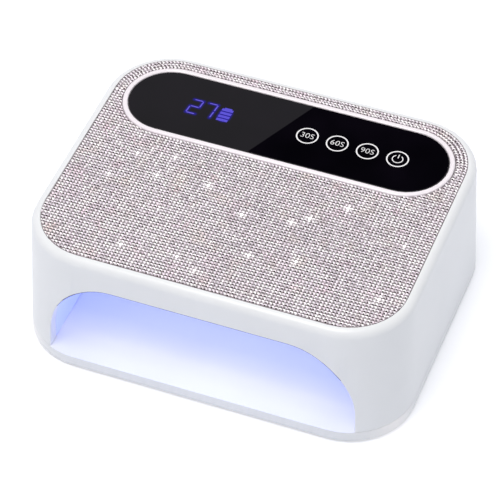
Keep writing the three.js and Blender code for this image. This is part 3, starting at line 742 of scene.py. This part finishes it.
def circle(x, y, radius, start=0, end=360):
    """Points on a circle or an arc, between two angles in degrees."""
    turns = [math.radians(start + (end - start) * i / circle_steps) for i in range(circle_steps + 1)]
    if end - start == 360:
        turns.pop()
    return [(x + radius * math.cos(turn), y + radius * math.sin(turn)) for turn in turns]


def label(name, words, x, y, foot, top, material):
    """Printed words, centred at a place."""
    text = bpy.data.curves.new(name, "FONT")
    text.body = words
    text.size = label_size
    text.align_x = "CENTER"
    text.align_y = "CENTER"
    text.extrude = (top - foot) / 2
    text.offset = -label_thinning
    solid_of(name, text, (x, y, (foot + top) / 2), material)


def make_keys():
    """The four printed keys, each a ring with a time or the power sign in it."""
    ink = plain("label_ink")
    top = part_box("display_lens")[1].z
    foot, high = top - print_sink, top + print_height
    for name, words in (("thirty", "30S"), ("sixty", "60S"), ("ninety", "90S"), ("power", None)):
        low_corner, high_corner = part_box(f"touch_spring_{name}")
        middle = (low_corner + high_corner) / 2
        x, y = middle.x + ring_shift, middle.y
        ring = [circle(x, y, ring_radius), circle(x, y, ring_radius - ring_stroke)]
        inlay(f"key_ring_{name}", ring, foot, high, ink)
        if words:
            label(f"key_label_{name}", words, x, y, foot, high, ink)
        else:
            inlay("key_sign_power", power_sign(x, y), foot, high, ink)


def power_sign(x, y):
    """A ring that is open at the top, and a bar in its gap."""
    start, end = 90 + power_gap_degrees, 450 - power_gap_degrees
    arc = circle(x, y, power_radius, start, end)
    arc += circle(x, y, power_radius - power_stroke, start, end)[::-1]
    left, right = x - power_stroke / 2, x + power_stroke / 2
    low, high = y + power_bar_low, y + power_bar_high
    return [arc, [(left, low), (right, low), (right, high), (left, high)]]


def segment(start, end):
    """A bar with pointed ends from one corner of the digit to the next."""
    start, end = Vector(start), Vector(end)
    along = (end - start).normalized()
    across = Vector((-along.y, along.x)) * segment_width / 2
    tip = along * segment_width / 2
    start += along * segment_gap
    end -= along * segment_gap
    return [start, start + tip + across, end - tip + across, end, end - tip - across, start + tip - across]


def leaning(points, place, lean=digit_lean):
    """Points of a sign, leant to the right about its middle and set at its place."""
    return [(place[0] + x + lean * y, place[1] + y) for x, y in points]


def segment_ends():
    """Where the segments of a 2 and a 7 start and end, about the digit's middle."""
    x, y = digit_size[0] / 2, digit_size[1] / 2
    return {
        "a": ((-x, y), (x, y)), "b": ((x, y), (x, 0)), "c": ((x, 0), (x, -y)),
        "d": ((-x, -y), (x, -y)), "e": ((-x, 0), (-x, -y)), "g": ((-x, 0), (x, 0)),
    }


def digit_places():
    """The middle of each digit."""
    return [(digit_place[0] + i * digit_pitch, digit_place[1]) for i in range(len(digit_segments))]


def lit_lines():
    """Both ends and half the width of each lit line: the segments, and the battery as a broad one."""
    ends = segment_ends()
    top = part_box("display_lens")[1].z
    lines = []
    for place, names in zip(digit_places(), digit_segments.values()):
        for name in names:
            start, end = leaning(ends[name], place)
            lines.append((Vector((*start, top)), Vector((*end, top)), segment_width / 2))
    half_x, half_y = battery_size[0] / 2, battery_size[1] / 2
    low, high = leaning([(0, half_x - half_y), (0, half_y - half_x)], battery_place, battery_lean)
    lines.append((Vector((*low, top)), Vector((*high, top)), half_x))
    return lines


def make_digits():
    """The lit number and the battery sign beside it."""
    lit = lit_segment("lit_segment", digit_light)
    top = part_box("display_lens")[1].z
    foot, high = top - print_sink, top + print_height
    ends = segment_ends()
    for place, (digit, names) in zip(digit_places(), digit_segments.items()):
        outlines = [leaning(segment(*ends[name]), place) for name in names]
        inlay(f"digit_{digit}", outlines, foot, high, lit)
    make_battery_sign(foot, high)


def make_battery_sign(foot, high):
    """Four bars over each other, the top one with the battery's knob."""
    lit = lit_segment("lit_battery", battery_light)
    half_x, half_y = battery_size[0] / 2, battery_size[1] / 2
    bar = (battery_size[1] - (battery_bars - 1) * battery_gap) / battery_bars
    outlines = []
    for i in range(battery_bars):
        low = -half_y + i * (bar + battery_gap)
        points = [(-half_x, low), (half_x, low), (half_x, low + bar)]
        if i == battery_bars - 1:
            knob_x, knob_y = battery_knob[0] / 2, battery_knob[1]
            points += [(knob_x, low + bar), (knob_x, low + bar + knob_y)]
            points += [(-knob_x, low + bar + knob_y), (-knob_x, low + bar)]
        points.append((-half_x, low + bar))
        outlines.append(leaning(points, battery_place, battery_lean))
    inlay("battery_sign", outlines, foot, high, lit)


# Crystal cover: a foil sheet with rows of faceted stones
def round_distance(x, y, half_x, half_y, bend):
    """Distance outside a rectangle with round corners; inside it is negative."""
    dx, dy = abs(x) - (half_x - bend), abs(y) - (half_y - bend)
    return math.hypot(max(dx, 0), max(dy, 0)) + min(max(dx, dy), 0) - bend


def round_path(centre_y, half_x, half_y, bend, pitch):
    """Evenly spaced points on a rectangle with round corners."""
    run_x, run_y = half_x - bend, half_y - bend
    quarter = math.pi / 2 * bend
    total = 4 * (run_x + run_y + quarter)
    count = round(total / pitch)
    points = []
    for i in range(count):
        walk = i / count * total
        for turn in range(4):
            straight = 2 * (run_y if turn % 2 == 0 else run_x)
            if walk < straight + quarter:
                break
            walk -= straight + quarter
        side = Matrix.Rotation(turn * math.pi / 2, 2)
        across, up = (run_x, run_y) if turn % 2 == 0 else (run_y, run_x)
        if walk < straight:
            spot = Vector((across + bend, walk - up))
        else:
            angle = (walk - straight) / bend
            spot = Vector((across + bend * math.cos(angle), up + bend * math.sin(angle)))
        x, y = side @ spot
        points.append((x, y + centre_y))
    return points


def cover_shape():
    """The cover's half sizes, and the place and size of its window."""
    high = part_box("crystal_cover")[1]
    frame_low, frame_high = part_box("display_frame")
    window = ((frame_high.x - frame_low.x) / 2 + window_gap, (frame_high.y - frame_low.y) / 2 + window_gap)
    return (high.x, high.y), (frame_low.y + frame_high.y) / 2, window


def stone_places():
    """Rows parallel to the front edge, as far back as the window's middle.

    Behind them, two rows follow the field's edge and one row follows the window.
    """
    (half_x, half_y), window_y, (window_x, window_half) = cover_shape()
    far_x, far_y = half_x - edge_inset, half_y - edge_inset
    columns = round(far_x / stone_pitch)
    rows = int((window_y + far_y) / stone_pitch)
    places = []
    for column in range(-columns, columns + 1):
        for row in range(rows + 1):
            x, y = column * far_x / columns, row * stone_pitch - far_y
            past_edge = round_distance(x, y, half_x, half_y, cover_corner)
            outside = round_distance(x, y - window_y, window_x, window_half, window_half)
            if past_edge < cut_reach and outside > -cut_reach:
                places.append((x, y))
    strip = []
    for inset in (edge_inset, strip_inset):
        strip += round_path(0, half_x - inset, half_y - inset, cover_corner - inset, stone_pitch)
    ring_x, ring_half = window_x + edge_inset, window_half + edge_inset
    strip += round_path(window_y, ring_x, ring_half, ring_half, stone_pitch)
    strip_start = rows * stone_pitch - far_y + stone_pitch / 2
    return places + [(x, y) for x, y in strip if y > strip_start]


def trimmed(points, outline):
    """Points of edge stones moved in, so that the stones end at the field's rim and at its window."""
    (half_x, half_y), window_y, (window_x, window_half) = outline
    run_x, run_y = half_x - cover_corner, half_y - cover_corner
    reach, least = cover_corner - cut_margin, window_half + cut_margin
    for point in points:
        side_x, side_y = math.copysign(1, point[0]), math.copysign(1, point[1])
        # Into the field, along its sides or towards the centre of its round corner
        dx, dy = abs(point[0]) - run_x, abs(point[1]) - run_y
        if dx > 0 and dy > 0:
            shrink = min(reach / math.hypot(dx, dy), 1)
            dx, dy = dx * shrink, dy * shrink
        point[:2] = side_x * (run_x + min(dx, reach)), side_y * (run_y + min(dy, reach))
        # Out of the window, away from the line through its middle
        dx, dy = max(abs(point[0]) - (window_x - window_half), 0), point[1] - window_y
        away = math.hypot(dx, dy)
        if 0 < away < least:
            point[0] += side_x * dx * (least / away - 1)
            point[1] += dy * (least / away - 1)
    return points


def painted_glint_at(x, y, lit):
    """How much a stone is painted bright by the strongest painted glint that reaches it."""
    return max(level * (1 - math.dist((x, y), centre) / painted_glint_reach) for centre, level in lit)


def stone_shape():
    """A round stone: flat back, a crown of facets and a flat table, with its foot at the origin."""
    turns = [math.tau * (i + 0.5) / stone_sides for i in range(stone_sides)]
    foot = [(math.cos(turn), math.sin(turn), 0) for turn in turns]
    table = [(stone_table * math.cos(turn), stone_table * math.sin(turn), 1) for turn in turns]
    following = [(i + 1) % stone_sides for i in range(stone_sides)]
    faces = [tuple(range(stone_sides - 1, -1, -1)), tuple(range(stone_sides, 2 * stone_sides))]
    faces += [(i, after, stone_sides + after, stone_sides + i) for i, after in enumerate(following)]
    return np.array(foot + table), faces


def cast_at(x, y, picker):
    """What a stone's place and its own chance do to its colour."""
    patch = noise.noise(Vector((x * patch_scale, y * patch_scale, patch_level)))
    cast = np.full(3, 1 + patch_strength * patch)
    for tint, level in ((gold_cast, gold_level), (rose_cast, rose_level)):
        strength = noise.noise(Vector((x * cast_scale, y * cast_scale, level)))
        cast = cast + np.array(tint) * max(strength - cast_start, 0)
    return cast * picker.uniform(*stone_spread)


def facet_tints(picker, x, y, angle, lit):
    """A colour for each facet of a stone turned by an angle, with its painted gleam as alpha.

    Painted light on cut glass: the table gets a painted gleam, and painted shade darkens the crown to one
    side.
    """
    cast = cast_at(x, y, picker)
    glint = max(painted_glint_at(x, y, lit), 0.0)
    light, dark = crown_painted_light_tones
    painted_gleams = [0.0, picker.uniform(*table_painted_gleam)]
    dark = light + (dark - light) * picker.choice(crown_painted_shade_share)
    dark_side = picker.uniform(*crown_painted_shade_side)
    tones = [np.array(stone_tone) * light, np.array(table_tone) * picker.choice(table_spread)]
    # Painted shade darkens the crown's facets that face one side of the field; the others get a painted gleam
    for side in range(stone_sides):
        facing = angle + math.tau * (side + 1) / stone_sides
        shade = max(math.cos(facing - dark_side), 0) ** crown_painted_shade_power
        tones.append(np.array(stone_tone) * (light + (dark - light) * shade) * picker.choice(crown_spread))
        painted_gleams.append(crown_painted_gleam * (1 - shade))
    tints = []
    for tone, gleam in zip(tones, painted_gleams):
        color = np.clip(tone * cast, darkest_tone, brightest_tone)
        # A painted glint whitens the facet, and the painted glint or gleam makes it glow
        tints.append((*(color + (1 - color) * min(glint, 1.0)), max(glint, gleam)))
    return tints


def stones(name, places, lit, material):
    """One mesh of many stones, each set on the foil with a small tilt of its own."""
    shape, faces = stone_shape()
    cover_low, cover_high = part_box("crystal_cover")
    foot = cover_low.z + stone_foot
    height = cover_high.z - stone_top - foot
    sized = shape * (stone_radius, stone_radius, height)
    outline = cover_shape()
    picker = random.Random(name)
    points, polygons, tints = [], [], []
    for x, y in places:
        angle = picker.uniform(0, math.tau)
        turn = Matrix.Rotation(angle, 3, "Z")
        lean = Matrix.Rotation(picker.uniform(-stone_tilt, stone_tilt), 3, "X")
        lean = lean @ Matrix.Rotation(picker.uniform(-stone_tilt, stone_tilt), 3, "Y")
        turned = sized @ np.array(lean @ turn).T
        turned[:, 2] = np.clip(turned[:, 2], 0, height)
        first = len(points) * len(shape)
        points.append(trimmed(turned + (x, y, foot), outline))
        polygons += [tuple(first + i for i in face) for face in faces]
        for face, tint in zip(faces, facet_tints(picker, x, y, angle, lit)):
            tints += tint * len(face)
    mesh = bpy.data.meshes.new(name)
    mesh.from_pydata(np.concatenate(points).tolist(), [], polygons)
    mesh.color_attributes.new("facet", "FLOAT_COLOR", "CORNER").data.foreach_set("color", tints)
    mesh.materials.append(material)
    piece = link(bpy.data.objects.new(name, mesh))
    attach(piece, "lamp")


def make_cover():
    """The foil stands for the cover's ridged solid, and carries the stones in three pieces."""
    (half_x, half_y), window_y, (window_x, window_half) = cover_shape()
    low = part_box("crystal_cover")[0].z
    field = round_path(0, half_x, half_y, cover_corner, stone_pitch)
    window = round_path(window_y, window_x, window_half, window_half, stone_pitch)
    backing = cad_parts["crystal_cover"].data.materials[0]
    sheet = inlay("crystal_foil", [field, window], low, low + stone_foot + stone_top, backing)
    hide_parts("crystal_cover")
    places = stone_places()
    lit = []
    # Each painted glint is moved onto its nearest stone
    for place, level in painted_glints.items():
        spot = [part * mm for part in place]
        lit.append((min(places, key=lambda stone: math.dist(stone, spot)), level))
    material = crystals()
    for name, front, back in (
        ("crystals_front", -half_y, -half_y / 3),
        ("crystals_middle", -half_y / 3, half_y / 3),
        ("crystals_rear", half_y / 3, half_y),
    ):
        stones(name, [(x, y) for x, y in places if front <= y < back], lit, material)


bpy.context.scene.view_settings.view_transform = "Standard"
make_camera()
make_world()
make_floor()
softbox("key_light", key_place, key_size, key_power, key_tone)
softbox("rear_light", rear_place, rear_size, rear_power, rear_tone)
dress_nodes()
shade_lip()
paint_liner_glow()
make_cards()
make_cover()
make_keys()
make_digits()
